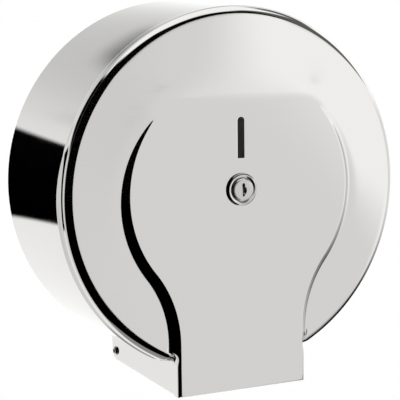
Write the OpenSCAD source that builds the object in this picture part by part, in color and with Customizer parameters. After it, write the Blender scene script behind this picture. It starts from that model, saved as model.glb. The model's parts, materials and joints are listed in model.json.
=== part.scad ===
// Wall dispenser for one jumbo roll of toilet paper, in polished stainless steel.
// A round cover with a paper chute hinges down on a back plate, and a cam lock holds it shut.
// Millimetres. X is to the right, Y goes into the wall and Z is up.
// The wall is the plane Y = 0, and the roll's axis lies on Y, at the centre of the wall screws.

/* [Cover] */
// Outside diameter of the front rim
rim_d = 260; // [240:1:320]
// Distance from the wall to the front panel
cover_depth = 118; // [110:1:150]
// Thickness of the cover's sheet steel
cover_t = 1; // [0.8:0.1:1.2]
// How much the drum's radius grows from the rim to the wall
drum_flare = 2.5; // [0.5:0.1:5]
// How far the front rim stands behind the front panel
rim_setback = 5.5; // [3:0.5:9]
// Outside radius of the rolled front rim
rim_round = 4.7; // [3:0.1:7]
// Straight length of the rim behind its round
rim_skirt = 6.8; // [4:0.1:10]
// Gap between the cover's rear edge and the wall
wall_gap = 0.5; // [0.3:0.1:2]

/* [Front panel] */
// Radius of the round part of the raised panel
bulb_r = 84.8; // [70:0.1:95]
// Height of the raised panel's centre above the roll's axis
bulb_z = 1; // [-4:0.5:6]
// Height of the soft line where the panel falls away to the rim
panel_top = 57; // [45:1:65]
// Radius of the hollow curve from the round part into the neck
neck_round = 84; // [50:1:110]
// Width of the flat of the neck
neck_w = 96.6; // [80:0.1:120]
// Depth of the pressed step at its deepest
step_depth = 6; // [3:0.5:8]
// Height over which the step fades out towards the top
step_fade = 45; // [30:1:80]
// How much wider than deep the step's slope is
step_spread = 1.2; // [0.8:0.1:3]
// Outside radius of the bend along the neck's sides
side_bend = 2.5; // [1.6:0.1:4]
// Outside radius of the bend along the lower lip
lip_bend = 1.5; // [1.4:0.1:3]
// Depth of the flange that is folded back along the neck and the lip
flange_depth = 8; // [6:0.5:14]
// Height of the rounded slot that shows the paper
slot_h = 29; // [15:1:32]
// Width of the slot
slot_w = 5.7; // [4.5:0.1:8]
// Height of the slot's lower end above the roll's axis
slot_bottom = 24.1; // [23.5:0.1:27]

/* [Paper chute] */
// Distance from the roll's axis down to the front panel's lower edge
chute_drop = 142.4; // [136:0.1:180]
// How much higher the chute's side plates end at the wall than at the front
side_rise = 3.6; // [0:0.1:8]
// How much wider the chute is at the wall than at the front, on each side
side_flare = 1.7; // [0:0.1:4]
// Distance between sheets that slide over each other without touching
sheet_gap = 0.1; // [0.05:0.05:0.3]
// Thickness of the toothed tear strip
tear_t = 0.8; // [0.6:0.1:1.2]
// Distance from one tooth of the tear strip to the next
tooth_pitch = 3; // [2:0.5:6]
// Depth of the teeth
tooth_h = 1.6; // [1:0.1:2]

/* [Back] */
// Radius of the back plate
plate_r = 126; // [100:1:126]
// Thickness of the back plate
plate_t = 1.5; // [1:0.1:3]
// Distance between the wall screws, across and up
screw_spacing = 120; // [100:1:150]
// Diameter of the wall screws' holes
screw_hole_d = 5.5; // [4:0.1:8]

/* [Hinge] */
// Distance from the wall to the hinge pins' axis
pin_y = 7.2; // [6:0.1:12]
// Height of the hinge pins' axis above the side plates' lower edge
pin_rise = 6.6; // [5:0.1:6.6]
// Diameter of the hinge pins
pin_d = 5; // [4:0.1:6]
// Radial clearance of the cover on the hinge pins
pin_play = 0.05; // [0.02:0.01:0.1]
// Diameter of the hinge pins' heads
pin_head_d = 6.6; // [6.2:0.1:8]
// Thickness of the hinge bracket
bracket_t = 1.5; // [1:0.1:2.5]
// Thickness of the hinge washers
hinge_washer_t = 1; // [0.5:0.1:2]
// Room beside each hinge washer
hinge_room = 0.6; // [0.4:0.1:0.9]

/* [Roll holder] */
// Radius of the spindle that the hub turns on
spindle_r = 10; // [8:0.5:14]
// Wall of the spindle's tube
spindle_wall = 2; // [1.5:0.5:3]
// Outside radius of the hub that the roll's core slides on
hub_r = 26; // [22:0.5:30]
// Wall of the hub's tube
hub_wall = 1.5; // [1:0.1:3]
// Radius of the round plate at the back of the hub
hub_plate_r = 47; // [40:1:60]
// Radial clearance of the hub's bushes on the spindle
bush_play = 0.05; // [0.02:0.01:0.1]
// Length of each bush inside the hub's tube
bush_l = 12; // [8:1:20]
// Thickness of the thrust washers
thrust_t = 1; // [0.6:0.1:1.5]
// Free play between parts that turn past each other
turn_gap = 0.3; // [0.2:0.05:0.6]
// Radius of the flange at the spindle's root
flange_r = 30; // [26:1:36]

/* [Lock] */
// Height of the lock's centre above the roll's axis
lock_z = 2.1; // [-3:0.1:3]
// Outside radius of the lock's bezel
bezel_r = 11.65; // [11:0.05:14]
// Height of the bezel in front of the panel
bezel_h = 2.2; // [1.5:0.1:4]
// Radius of the lock's threaded barrel
barrel_r = 9.5; // [9.2:0.1:10.5]
// Length of the barrel behind the panel's face
barrel_l = 19; // [17:0.5:22]
// Radius of the turning plug
plug_r = 8.1; // [7:0.1:8.2]
// Radial clearance of the plug in the barrel
plug_play = 0.05; // [0.02:0.01:0.1]
// How far the plug's face stands in front of the bezel
plug_proud = 1.4; // [0.6:0.1:3]
// Distance from the lock's axis to the cam's tip
cam_reach = 22; // [20:0.5:23]
// Thickness of the cam
cam_t = 2; // [1.5:0.1:3]

/* [Hidden] */

steel = "#c9cacc";
satin_steel = "#b4b6b8";
zinc = "#a9adb0";
nylon = "#e8e6de";
$fn = 72;

// The rim and the drum
rim_r = rim_d / 2;
rim_start = rim_r - rim_round;
rim_back = rim_setback + rim_round + rim_skirt;
drum_front = -(cover_depth - rim_setback - rim_round - 1);
skirt_y = -(cover_depth - rim_back);
// The rim's flat facets dip a little inside its round, so the drum keeps two gaps from it
drum_r_at_skirt = rim_r - cover_t - 2 * sheet_gap;
drum_slope = drum_flare / (-wall_gap - skirt_y);
function drum_r(y) = drum_r_at_skirt + drum_slope * (y - skirt_y);

// The chute
neck_x = neck_w / 2;
flange_x = neck_x + side_bend;
lip_z = -chute_drop + lip_bend;
side_x_front = flange_x - cover_t - sheet_gap;
flange_y = -(cover_depth - flange_depth);
side_slope = side_flare / (-wall_gap - flange_y);
function side_x(y) = side_x_front + side_slope * (y - flange_y);
side_front = -(cover_depth - side_bend - 1);
function side_bottom(y) = -chute_drop + side_rise * (y - side_front) / (-wall_gap - side_front);

// The hinge
hinge_y = -pin_y;
hinge_z = side_bottom(hinge_y) + pin_rise;
corner_r = pin_y - wall_gap;
ear_x = side_x(hinge_y) - cover_t - hinge_washer_t - hinge_room;
ear_r = pin_d / 2 + 4;
bracket_top = 12;
pin_tail_t = 1.2;
pin_head_t = 1.4;
bracket_rivet_r = 1.6;
tab_x = ear_x - 0.2;
tab_bottom = hinge_z - ear_r;

// The lock, from the front to the back
plug_face = -(cover_depth + bezel_h + plug_proud);
barrel_end = -(cover_depth - barrel_l);
backing_t = 1.5;
backing_w = 40;
lock_washer_t = 0.8;
nut_t = 4;
nut_flats = 24;
cam_washer_t = 0.8;
cam_front = barrel_end + turn_gap + cam_washer_t;
cam_back = cam_front + cam_t;
drive_w = 8;
cam_screw_r = 2.5;
cam_head_t = 3;
keyway_h = 9.6;
keyway_w = 2.2;
keyway_d = 9;

// The striker, which the cam turns behind
lip_t = 1.5;
lip_back = cam_front - 0.5;
striker_inside = cam_reach + 1.5;
striker_x = striker_inside + lip_t;
striker_h = 10;
striker_lip_w = 8.5;
cam_room = 11.5;
post_end = cam_back + cam_room;

// The roll holder, from the wall to the front
flange_t = 2;
flange_front = -(plate_t + flange_t);
hub_back = flange_front - thrust_t - turn_gap;
cap_t = 0.8;
ring_t = 1;
ring_groove = 0.8;
ring_back = post_end + 3.5;
hub_front = ring_back + thrust_t + turn_gap;
bush_outer = hub_r - hub_wall;
hub_plate_t = 1.2;
hub_plate_front = hub_back - cap_t - hub_plate_t;
front_cap_r = hub_r - 0.5;
rear_cap_r = hub_r + 3;
end_plug_l = 10;
striker_screw_r = 2.1;
flange_rivet_r = 1.6;
flange_rivet_inset = 7;
flange_rivet_ring = flange_r - flange_rivet_inset;

// A round bar or hole along Y from y0 to y1
module rod(r, y0, y1, x = 0, z = 0) {
  translate([x, y0, z]) rotate([-90, 0, 0]) cylinder(r = r, h = y1 - y0);
}

// A flat shape drawn in X and Z, made solid from y0 to y1
module slab(y0, y1) {
  translate([0, y1, 0]) rotate([90, 0, 0]) linear_extrude(y1 - y0) children();
}

// A round bar or hole along X from x0 to x1
module pin_bar(r, x0, x1, y, z) {
  translate([x0, y, z]) rotate([0, 90, 0]) cylinder(r = r, h = x1 - x0);
}

// A flat shape drawn in Y and Z, made solid from x0 to x1
module side_slab(x0, x1) {
  translate([x0, 0, 0]) rotate([90, 0, 90]) linear_extrude(x1 - x0) children();
}

// A washer along Y
module ring(outer, inner, y0, y1, z = 0) {
  difference() {
    rod(outer, y0, y1, 0, z);
    rod(inner, y0 - 1, y1 + 1, 0, z);
  }
}

// Both sides of the hinge
module both_sides() {
  for (side = [0, 1]) mirror([side, 0, 0]) children();
}

// ---------- the back plate and the hinge ----------

module back_outline() {
  circle(r = plate_r, $fn = 120);
  translate([-tab_x, tab_bottom]) square([2 * tab_x, -tab_bottom]);
}

module at_wall_screws() {
  for (x = [-1, 1], z = [-1, 1])
    translate([x * screw_spacing / 2, z * screw_spacing / 2]) children();
}

module at_bracket_rivets() {
  for (x = [-1, -1 / 3, 1 / 3, 1])
    translate([x * (ear_x - 12), hinge_z + ear_r + bracket_top / 2]) children();
}

module at_flange_rivets() {
  for (a = [45:90:315]) rotate(a) translate([flange_rivet_ring, 0]) children();
}

module back_plate() {
  color(satin_steel)
    slab(-plate_t, 0) difference() {
      back_outline();
      at_wall_screws() circle(d = screw_hole_d, $fn = 48);
      at_bracket_rivets() circle(r = bracket_rivet_r, $fn = 32);
      at_flange_rivets() circle(r = flange_rivet_r, $fn = 32);
    }
}

module hinge_bracket() {
  ear_back = -plate_t;
  color(satin_steel) {
    slab(ear_back - bracket_t, ear_back) difference() {
      translate([-ear_x, hinge_z - ear_r]) square([2 * ear_x, 2 * ear_r + bracket_top]);
      at_bracket_rivets() circle(r = bracket_rivet_r, $fn = 32);
    }
    both_sides() side_slab(ear_x - bracket_t, ear_x) difference() {
      union() {
        intersection() {
          translate([hinge_y, hinge_z]) circle(r = ear_r);
          translate([hinge_y - ear_r, hinge_z - ear_r]) square([ear_r, 2 * ear_r]);
        }
        translate([hinge_y, hinge_z - ear_r]) square([ear_back - hinge_y, 2 * ear_r]);
      }
      translate([hinge_y, hinge_z]) circle(d = pin_d, $fn = 48);
    }
  }
}

module bracket_rivets() {
  head_t = 1.2;
  front = -(plate_t + bracket_t);
  color(steel) {
    slab(front, 0) at_bracket_rivets() circle(r = bracket_rivet_r, $fn = 32);
    slab(front - head_t, front) at_bracket_rivets() circle(r = 2 * bracket_rivet_r, $fn = 32);
  }
}

module hinge_pins() {
  tail_x = ear_x - bracket_t - pin_tail_t;
  head_x = side_x(hinge_y) + turn_gap;
  color(steel) both_sides() difference() {
    union() {
      pin_bar(pin_d / 2 + 1, tail_x, tail_x + pin_tail_t, hinge_y, hinge_z);
      pin_bar(pin_d / 2, tail_x, head_x + pin_head_t, hinge_y, hinge_z);
      pin_bar(pin_head_d / 2, head_x, head_x + pin_head_t, hinge_y, hinge_z);
    }
    pin_bar(pin_d / 2 - 1, head_x + pin_head_t - 1.8, head_x + pin_head_t + 1, hinge_y, hinge_z);
  }
}

module hinge_washers() {
  color(nylon) both_sides() difference() {
    pin_bar(pin_d / 2 + 2.5, ear_x, ear_x + hinge_washer_t, hinge_y, hinge_z);
    pin_bar(pin_d / 2, ear_x - 1, ear_x + hinge_washer_t + 1, hinge_y, hinge_z);
  }
}

// ---------- the spindle ----------

module spindle_flange() {
  color(satin_steel) slab(flange_front, -plate_t) difference() {
    circle(r = flange_r);
    at_flange_rivets() circle(r = flange_rivet_r, $fn = 32);
  }
}

module flange_rivets() {
  head_t = 0.8;
  color(steel) {
    slab(flange_front, 0) at_flange_rivets() circle(r = flange_rivet_r, $fn = 32);
    slab(flange_front - head_t, flange_front)
      at_flange_rivets() circle(r = 1.8 * flange_rivet_r, $fn = 32);
  }
}

module spindle_post() {
  color(steel) difference() {
    rod(spindle_r, post_end, flange_front);
    rod(spindle_r - spindle_wall, post_end - 1, flange_front + 1);
    ring(spindle_r + 1, spindle_r - ring_groove, ring_back - ring_t, ring_back);
  }
}

module spindle_end_plug() {
  color(satin_steel)
    ring(spindle_r - spindle_wall, striker_screw_r, post_end, post_end + end_plug_l);
}

module rear_thrust_washer() {
  color(nylon) ring(spindle_r + 6, spindle_r + bush_play, flange_front - thrust_t, flange_front);
}

module front_thrust_washer() {
  color(nylon) ring(spindle_r + 6, spindle_r + bush_play, ring_back, ring_back + thrust_t);
}

module retaining_ring() {
  color(zinc) difference() {
    ring(spindle_r + 2.5, spindle_r - ring_groove, ring_back - ring_t, ring_back);
    slab(ring_back - ring_t - 1, ring_back + 1)
      translate([-3, -spindle_r - 4]) square([6, spindle_r]);
  }
}

module striker() {
  base_front = post_end - lip_t;
  lip_front = lip_back - lip_t;
  color(satin_steel) {
    slab(base_front, post_end) difference() {
      translate([-striker_x, lock_z - striker_h / 2])
        square([striker_x + spindle_r, striker_h]);
      circle(r = striker_screw_r + 0.4, $fn = 48);
    }
    slab(lip_front, post_end) translate([-striker_x, lock_z - striker_h / 2])
      square([lip_t, striker_h]);
    slab(lip_front, lip_back) translate([-striker_x, lock_z - striker_h / 2])
      square([lip_t + striker_lip_w, striker_h]);
  }
}

module striker_screw() {
  head_t = 3;
  base_front = post_end - lip_t;
  color(zinc) difference() {
    union() {
      rod(striker_screw_r, base_front, post_end + end_plug_l);
      rod(2 * striker_screw_r, base_front - head_t, base_front);
    }
    slab(base_front - head_t - 1, base_front - 1) circle(r = 1.7, $fn = 6);
  }
}

// ---------- the hub ----------

module roll_hub() {
  color(satin_steel) ring(hub_r, hub_r - hub_wall, hub_front + cap_t, hub_plate_front);
}

module hub_plate() {
  color(satin_steel) ring(hub_plate_r, bush_outer, hub_plate_front, hub_back - cap_t);
}

// A bush with its cap from cap0 to cap1 and its body from body0 to body1
module bush(cap_r, cap0, cap1, body0, body1) {
  color(nylon) difference() {
    union() {
      rod(cap_r, cap0, cap1);
      rod(bush_outer, body0, body1);
    }
    rod(spindle_r + bush_play, min(cap0, body0) - 1, max(cap1, body1) + 1);
  }
}

module rear_bush() {
  cap = hub_back - cap_t;
  bush(rear_cap_r, cap, hub_back, cap - bush_l, cap);
}

module front_bush() {
  cap = hub_front + cap_t;
  bush(front_cap_r, hub_front, cap, cap, cap + bush_l);
}

// ---------- the front cover ----------

// The raised panel's outline is followed by spokes from the roll's axis. A spoke's angle
// runs clockwise from the top, and the outline is a level line at the top, the round part,
// the hollow curve of the neck, the neck's straight side and the lower lip.
bulb_c = [0, bulb_z];
neck_c = [
  neck_x + neck_round,
  bulb_z - sqrt(pow(bulb_r + neck_round, 2) - pow(neck_x + neck_round, 2))
];
top_x = sqrt(pow(bulb_r, 2) - pow(panel_top - bulb_z, 2));
tangent = bulb_c + (neck_c - bulb_c) * bulb_r / (bulb_r + neck_round);
function angle_of(p) = atan2(p[0], p[1]);
a_top = angle_of([top_x, panel_top]);
a_tangent = angle_of(tangent);
a_neck = angle_of([neck_x, neck_c[1]]);
a_blend = 180 - asin(neck_x / (rim_start - 3));
a_rim = 180 - asin(neck_x / rim_r);
a_corner = angle_of([neck_x, lip_z]);
tiny = 0.01;

function dir(a) = [sin(a), cos(a)];
function hit_inside(a, c, r) = let (m = dir(a) * c) m + sqrt(r * r - c * c + m * m);
function hit_outside(a, c, r) = let (m = dir(a) * c) m - sqrt(r * r - c * c + m * m);
function edge_r(a) =
  a <= a_top ? panel_top / cos(a)
  : a <= a_tangent ? hit_inside(a, bulb_c, bulb_r)
  : a <= a_neck ? hit_outside(a, neck_c, neck_round)
  : a <= a_corner ? neck_x / sin(a)
  : lip_z / cos(a);
function edge_point(a) = edge_r(a) * dir(a);
function edge_normal(a) =
  a <= a_top ? [0, 1]
  : a <= a_tangent ? (edge_point(a) - bulb_c) / bulb_r
  : a <= a_neck ? (neck_c - edge_point(a)) / neck_round
  : [1, 0];
function depth_at(z) = z >= panel_top ? 0 : step_depth * (1 - exp((z - panel_top) / step_fade));

// A point of the front, given in X and Z and by how far it stands behind the panel's face
function set_back(p, s) = [p[0], s - cover_depth, p[1]];

// A spoke that crosses the step, the dished annulus and the rolled rim. in is the sheet's
// thickness on the inner face and 0 on the outer one.
function dish_ring(a, in) = let (
    e = edge_point(a),
    n = edge_normal(a),
    depth = depth_at(e[1]),
    run = min(depth + step_spread, 0.7 * (rim_start - edge_r(a))),
    foot = e + n * run
  ) concat(
    [for (t = [0, 0.25, 0.5, 0.75, 1])
      set_back(e + n * (run * t), depth * t * t * (3 - 2 * t) + in)],
    [for (t = [1 / 3, 2 / 3])
      set_back(foot * (1 - t) + rim_start * dir(a) * t,
        depth + (rim_setback - depth) * pow(t, 1.4) + in)],
    [for (b = [0, 30, 60, 90])
      set_back((rim_start + (rim_round - in) * sin(b)) * dir(a),
        rim_setback + rim_round - (rim_round - in) * cos(b))],
    [set_back((rim_r - in) * dir(a), rim_back)]
  );

// A spoke that ends at the neck's side or at the lower lip, with a bend and a flange
function neck_ring(a, in) = let (
    e = edge_point(a),
    at_side = a < a_corner - tiny,
    at_lip = a > a_corner + tiny,
    bend = at_side ? side_bend : lip_bend,
    out = at_side ? [side_bend, 0] : at_lip ? [0, -lip_bend] : [side_bend, -lip_bend],
    back = at_side ? [in, 0] : at_lip ? [0, -in] : [in, -in]
  ) concat(
    [for (b = [0, 30, 60, 90])
      set_back(e + (out - back) * sin(b), bend - (bend - in) * cos(b))],
    [for (k = [1:8]) set_back(e + out - back, bend + (flange_depth - bend) * k / 8)]
  );

function spoke(a, in) = a < a_rim - tiny ? dish_ring(a, in) : neck_ring(a, in);
function steps(a0, a1, n) = [for (i = [0:n - 1]) a0 + (a1 - a0) * i / n];
half_angles = concat(
  steps(0, a_top, 10), steps(a_top, a_tangent, 18), steps(a_tangent, a_neck, 9),
  steps(a_neck, a_blend, 1), steps(a_blend, a_rim, 1), steps(a_rim, a_corner, 2),
  steps(a_corner, 180, 5)
);
function mirrored(points) = [for (p = points) [-p[0], p[1], p[2]]];
function all_spokes(in) = concat(
  [for (a = half_angles) spoke(a, in)],
  [spoke(180, in)],
  [for (i = [len(half_angles) - 1:-1:1]) mirrored(spoke(half_angles[i], in))]
);

// The pressed sheet: an outer face, an inner face and the edge between them
module pressed_front() {
  outer = all_spokes(0);
  inner = all_spokes(cover_t);
  count = len(outer);
  last = len(outer[0]) - 1;
  inner_start = 1 + count * (last + 1);
  function o(i, k) = 1 + (i % count) * (last + 1) + k;
  function n(i, k) = inner_start + 1 + (i % count) * (last + 1) + k;
  points = concat(
    [set_back([0, 0], 0)], [for (s = outer) each s],
    [set_back([0, 0], cover_t)], [for (s = inner) each s]
  );
  faces = concat(
    [for (i = [0:count - 1]) [0, o(i, 0), o(i + 1, 0)]],
    [for (i = [0:count - 1], k = [0:last - 1]) each [
      [o(i, k), o(i, k + 1), o(i + 1, k + 1)], [o(i, k), o(i + 1, k + 1), o(i + 1, k)]]],
    [for (i = [0:count - 1]) [inner_start, n(i + 1, 0), n(i, 0)]],
    [for (i = [0:count - 1], k = [0:last - 1]) each [
      [n(i, k), n(i + 1, k + 1), n(i, k + 1)], [n(i, k), n(i + 1, k), n(i + 1, k + 1)]]],
    [for (i = [0:count - 1]) each [
      [o(i, last), n(i, last), n(i + 1, last)], [o(i, last), n(i + 1, last), o(i + 1, last)]]]
  );
  polyhedron(points = points, faces = faces, convexity = 6);
}

module slot_outline() {
  translate([-slot_w / 2, slot_bottom]) square([slot_w, slot_h - slot_w / 2]);
  translate([0, slot_bottom + slot_h - slot_w / 2]) circle(d = slot_w, $fn = 48);
}

module front_cover() {
  color(steel) difference() {
    pressed_front();
    rod(barrel_r, -cover_depth - 1, -cover_depth + cover_t + 1, 0, lock_z);
    slab(-cover_depth - 1, -cover_depth + cover_t + 1) slot_outline();
  }
}

// ---------- the drum and the chute's sides ----------

// A tapered drum that is smaller than the band's outer face by a margin
module drum_solid(margin, y0, y1) {
  translate([0, y0, 0]) rotate([-90, 0, 0])
    cylinder(r1 = drum_r(y0) - margin, r2 = drum_r(y1) - margin, h = y1 - y0, $fn = 160);
}

// The chute as a solid wedge that widens towards the wall
module chute_solid(margin, y0, y1, z0, z1) {
  translate([0, 0, z0]) linear_extrude(z1 - z0) polygon([
    [-side_x(y0) + margin, y0], [side_x(y0) - margin, y0],
    [side_x(y1) - margin, y1], [-side_x(y1) + margin, y1]
  ]);
}

// The side plates' outline in Y and Z, round about the hinge at its lower rear corner
module side_outline() {
  top = 0;
  polygon([
    [side_front, side_bottom(side_front)], [hinge_y, side_bottom(hinge_y)],
    [hinge_y, hinge_z], [-wall_gap, hinge_z], [-wall_gap, top], [side_front, top]
  ]);
  translate([hinge_y, hinge_z]) intersection() {
    circle(r = corner_r);
    translate([0, -corner_r]) square(corner_r);
  }
}

module side_band() {
  through = 5;
  plate_top = -rim_r * 0.8;
  color(steel) difference() {
    union() {
      drum_solid(0, drum_front, -wall_gap);
      intersection() {
        chute_solid(0, side_front, -wall_gap, -chute_drop, plate_top);
        side_slab(-rim_r, rim_r) side_outline();
      }
    }
    drum_solid(cover_t, side_front - through, through);
    chute_solid(cover_t, side_front - through, through, -chute_drop - through, plate_top + 1);
    pin_bar(pin_d / 2 + pin_play, -rim_r, rim_r, hinge_y, hinge_z);
  }
}

// The tear strip lies on the folded lip, and its teeth hang behind it
module tear_strip() {
  half = side_x_front - cover_t - 1;
  lip_top = -chute_drop + cover_t;
  hang = lip_bend + 0.4;
  back = flange_y;
  teeth = floor(2 * half / tooth_pitch);
  color(satin_steel) {
    slab(-cover_depth + 4, back + tear_t)
      translate([-half, lip_top]) square([2 * half, tear_t]);
    slab(back, back + tear_t) {
      translate([-half, lip_top - 0.2]) square([2 * half, tear_t + 0.2]);
      for (i = [0:teeth - 1])
        translate([(i - teeth / 2) * tooth_pitch, lip_top - 0.2])
          polygon([[0, 0.1], [0, 0], [tooth_pitch / 2, -tooth_h], [tooth_pitch, 0], [tooth_pitch, 0.1]]);
    }
  }
}

// ---------- the lock ----------

module lock_backing_plate() {
  corner = 3;
  front = -cover_depth + cover_t;
  side = backing_w - 2 * corner;
  color(satin_steel) slab(front, front + backing_t) difference() {
    translate([-backing_w / 2, lock_z - backing_w / 2]) {
      translate([corner, 0]) square([side, backing_w]);
      translate([0, corner]) square([backing_w, side]);
      for (x = [corner, corner + side], z = [corner, corner + side])
        translate([x, z]) circle(r = corner, $fn = 32);
    }
    translate([0, lock_z]) circle(r = barrel_r);
  }
}

// The lock's face is turned from a profile of radius and height in front of the panel
module lock_housing() {
  bore = plug_r + plug_play;
  color(zinc) translate([0, -cover_depth, lock_z]) rotate([90, 0, 0]) rotate_extrude() polygon([
    [bore, -barrel_l], [barrel_r, -barrel_l], [barrel_r, 0], [bezel_r, 0],
    [bezel_r, 0.4], [bezel_r - 0.5, 1.1], [bezel_r - 1.6, 1.9], [bezel_r - 2.3, bezel_h],
    [bore + 0.4, bezel_h], [bore, bezel_h - 0.4]
  ]);
}

module lock_washer() {
  front = -cover_depth + cover_t + backing_t;
  color(zinc) ring(barrel_r + 3.5, barrel_r, front, front + lock_washer_t, lock_z);
}

module lock_nut() {
  front = -cover_depth + cover_t + backing_t + lock_washer_t;
  color(zinc) slab(front, front + nut_t) translate([0, lock_z]) difference() {
    circle(r = nut_flats / sqrt(3), $fn = 6);
    circle(r = barrel_r);
  }
}

module lock_plug() {
  shoulder = barrel_end + turn_gap;
  color(zinc) difference() {
    union() {
      rod(plug_r - 0.5, plug_face, plug_face + 0.5, 0, lock_z);
      rod(plug_r, plug_face + 0.5, shoulder, 0, lock_z);
      slab(shoulder, cam_back)
        translate([-drive_w / 2, lock_z - drive_w / 2]) square(drive_w);
    }
    slab(plug_face - 1, plug_face + keyway_d) translate([0, lock_z]) {
      translate([-keyway_w / 2, -keyway_h / 2]) square([keyway_w, keyway_h]);
      translate([keyway_w / 2, 0]) circle(r = 1.3, $fn = 32);
    }
    rod(cam_screw_r, cam_back - 8, cam_back + 1, 0, lock_z);
  }
}

module cam_washer() {
  front = barrel_end + turn_gap;
  color(satin_steel) slab(front, front + cam_washer_t) translate([0, lock_z]) difference() {
    circle(r = barrel_r + 0.5);
    translate([-drive_w / 2, -drive_w / 2]) square(drive_w);
  }
}

module lock_cam() {
  tip_r = 5;
  root_r = 9;
  waist = root_r - 1.5;
  tip_z = tip_r - cam_reach;
  color(satin_steel) slab(cam_front, cam_back) translate([0, lock_z]) difference() {
    union() {
      circle(r = root_r);
      translate([0, tip_z]) circle(r = tip_r);
      polygon([[-waist, 0], [3 - waist, tip_z], [waist - 3, tip_z], [waist, 0]]);
    }
    translate([-drive_w / 2, -drive_w / 2]) square(drive_w);
  }
}

module cam_screw() {
  color(zinc) difference() {
    union() {
      rod(cam_screw_r, cam_back - 8, cam_back, 0, lock_z);
      rod(2.2 * cam_screw_r, cam_back, cam_back + cam_head_t, 0, lock_z);
    }
    slab(cam_back + 1, cam_back + cam_head_t + 1)
      translate([-0.6, lock_z - 3.5]) square([1.2, 7]);
  }
}

back_plate();
hinge_bracket();
bracket_rivets();
hinge_pins();
hinge_washers();
spindle_flange();
flange_rivets();
spindle_post();
spindle_end_plug();
rear_thrust_washer();
front_thrust_washer();
retaining_ring();
striker();
striker_screw();
roll_hub();
hub_plate();
rear_bush();
front_bush();
front_cover();
side_band();
lock_backing_plate();
lock_housing();
lock_washer();
lock_nut();
tear_strip();
lock_plug();
cam_washer();
lock_cam();
cam_screw();
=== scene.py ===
"""Jumbo toilet roll dispenser: finishes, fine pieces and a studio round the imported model."""

import json
import math

import bmesh
import bpy
from mathutils import Matrix, Vector
from mathutils.geometry import tessellate_polygon


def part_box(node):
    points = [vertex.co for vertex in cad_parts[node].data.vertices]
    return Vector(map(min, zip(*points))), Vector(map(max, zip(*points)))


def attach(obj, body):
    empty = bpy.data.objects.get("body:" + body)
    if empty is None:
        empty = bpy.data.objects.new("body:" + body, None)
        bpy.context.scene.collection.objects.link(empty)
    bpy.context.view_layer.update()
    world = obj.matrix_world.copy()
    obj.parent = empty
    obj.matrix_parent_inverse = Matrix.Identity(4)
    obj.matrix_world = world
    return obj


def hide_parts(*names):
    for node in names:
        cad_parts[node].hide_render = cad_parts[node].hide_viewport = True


bl_info = {
    "name": "Jumbo Toilet Roll Dispenser",
    "version": (1, 0, 0),
    "blender": (4, 5, 0),
    "location": "3D View > Sidebar > Dispenser",
    "description": "Finishes, fine pieces and studio for a jumbo toilet roll dispenser",
    "category": "Add Mesh",
}

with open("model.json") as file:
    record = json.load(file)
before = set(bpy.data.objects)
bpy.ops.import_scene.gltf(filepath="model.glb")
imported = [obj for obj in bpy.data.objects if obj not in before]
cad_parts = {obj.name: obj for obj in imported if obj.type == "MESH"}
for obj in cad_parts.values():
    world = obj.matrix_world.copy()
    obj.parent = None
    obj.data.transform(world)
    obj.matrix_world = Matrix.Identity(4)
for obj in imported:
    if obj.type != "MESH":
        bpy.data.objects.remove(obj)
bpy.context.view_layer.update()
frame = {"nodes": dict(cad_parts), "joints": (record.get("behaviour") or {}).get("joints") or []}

MM = 0.001
DOUBLE = 1e-7  # Points that lie nearer to each other are one

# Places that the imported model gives
FACE_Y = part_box("front_cover")[0].y
CHUTE_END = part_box("front_cover")[0].z
BAND_LOW, BAND_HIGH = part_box("side_band")
HOUSING_LOW, HOUSING_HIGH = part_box("lock_housing")
LOCK_Z = (HOUSING_LOW.z + HOUSING_HIGH.z) / 2
PLUG_LOW, PLUG_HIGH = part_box("lock_plug")
PINS_LOW, PINS_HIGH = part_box("hinge_pins")
STRIP_LOW, STRIP_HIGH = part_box("tear_strip")
HINGE = Vector(next(j["pos_m"] for j in frame["joints"] if j["name"] == "cover_hinge"))


# ---------- sizes and colours ----------


def linear(hex_code):
    """An sRGB hex colour as linear red, green and blue."""
    parts = [int(hex_code[i : i + 2], 16) / 255 for i in (1, 3, 5)]
    return tuple(c / 12.92 if c <= 0.04045 else ((c + 0.055) / 1.055) ** 2.4 for c in parts)


def length(name, description, default):
    return bpy.props.FloatProperty(
        name=name, description=description, default=default, unit="LENGTH", precision=5
    )


def colour(name, description, hex_code):
    return bpy.props.FloatVectorProperty(
        name=name, description=description, default=linear(hex_code), subtype="COLOR", min=0, max=1
    )


def turn(name, description, degrees):
    return bpy.props.FloatProperty(
        name=name, description=description, default=math.radians(degrees), subtype="ANGLE"
    )


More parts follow.
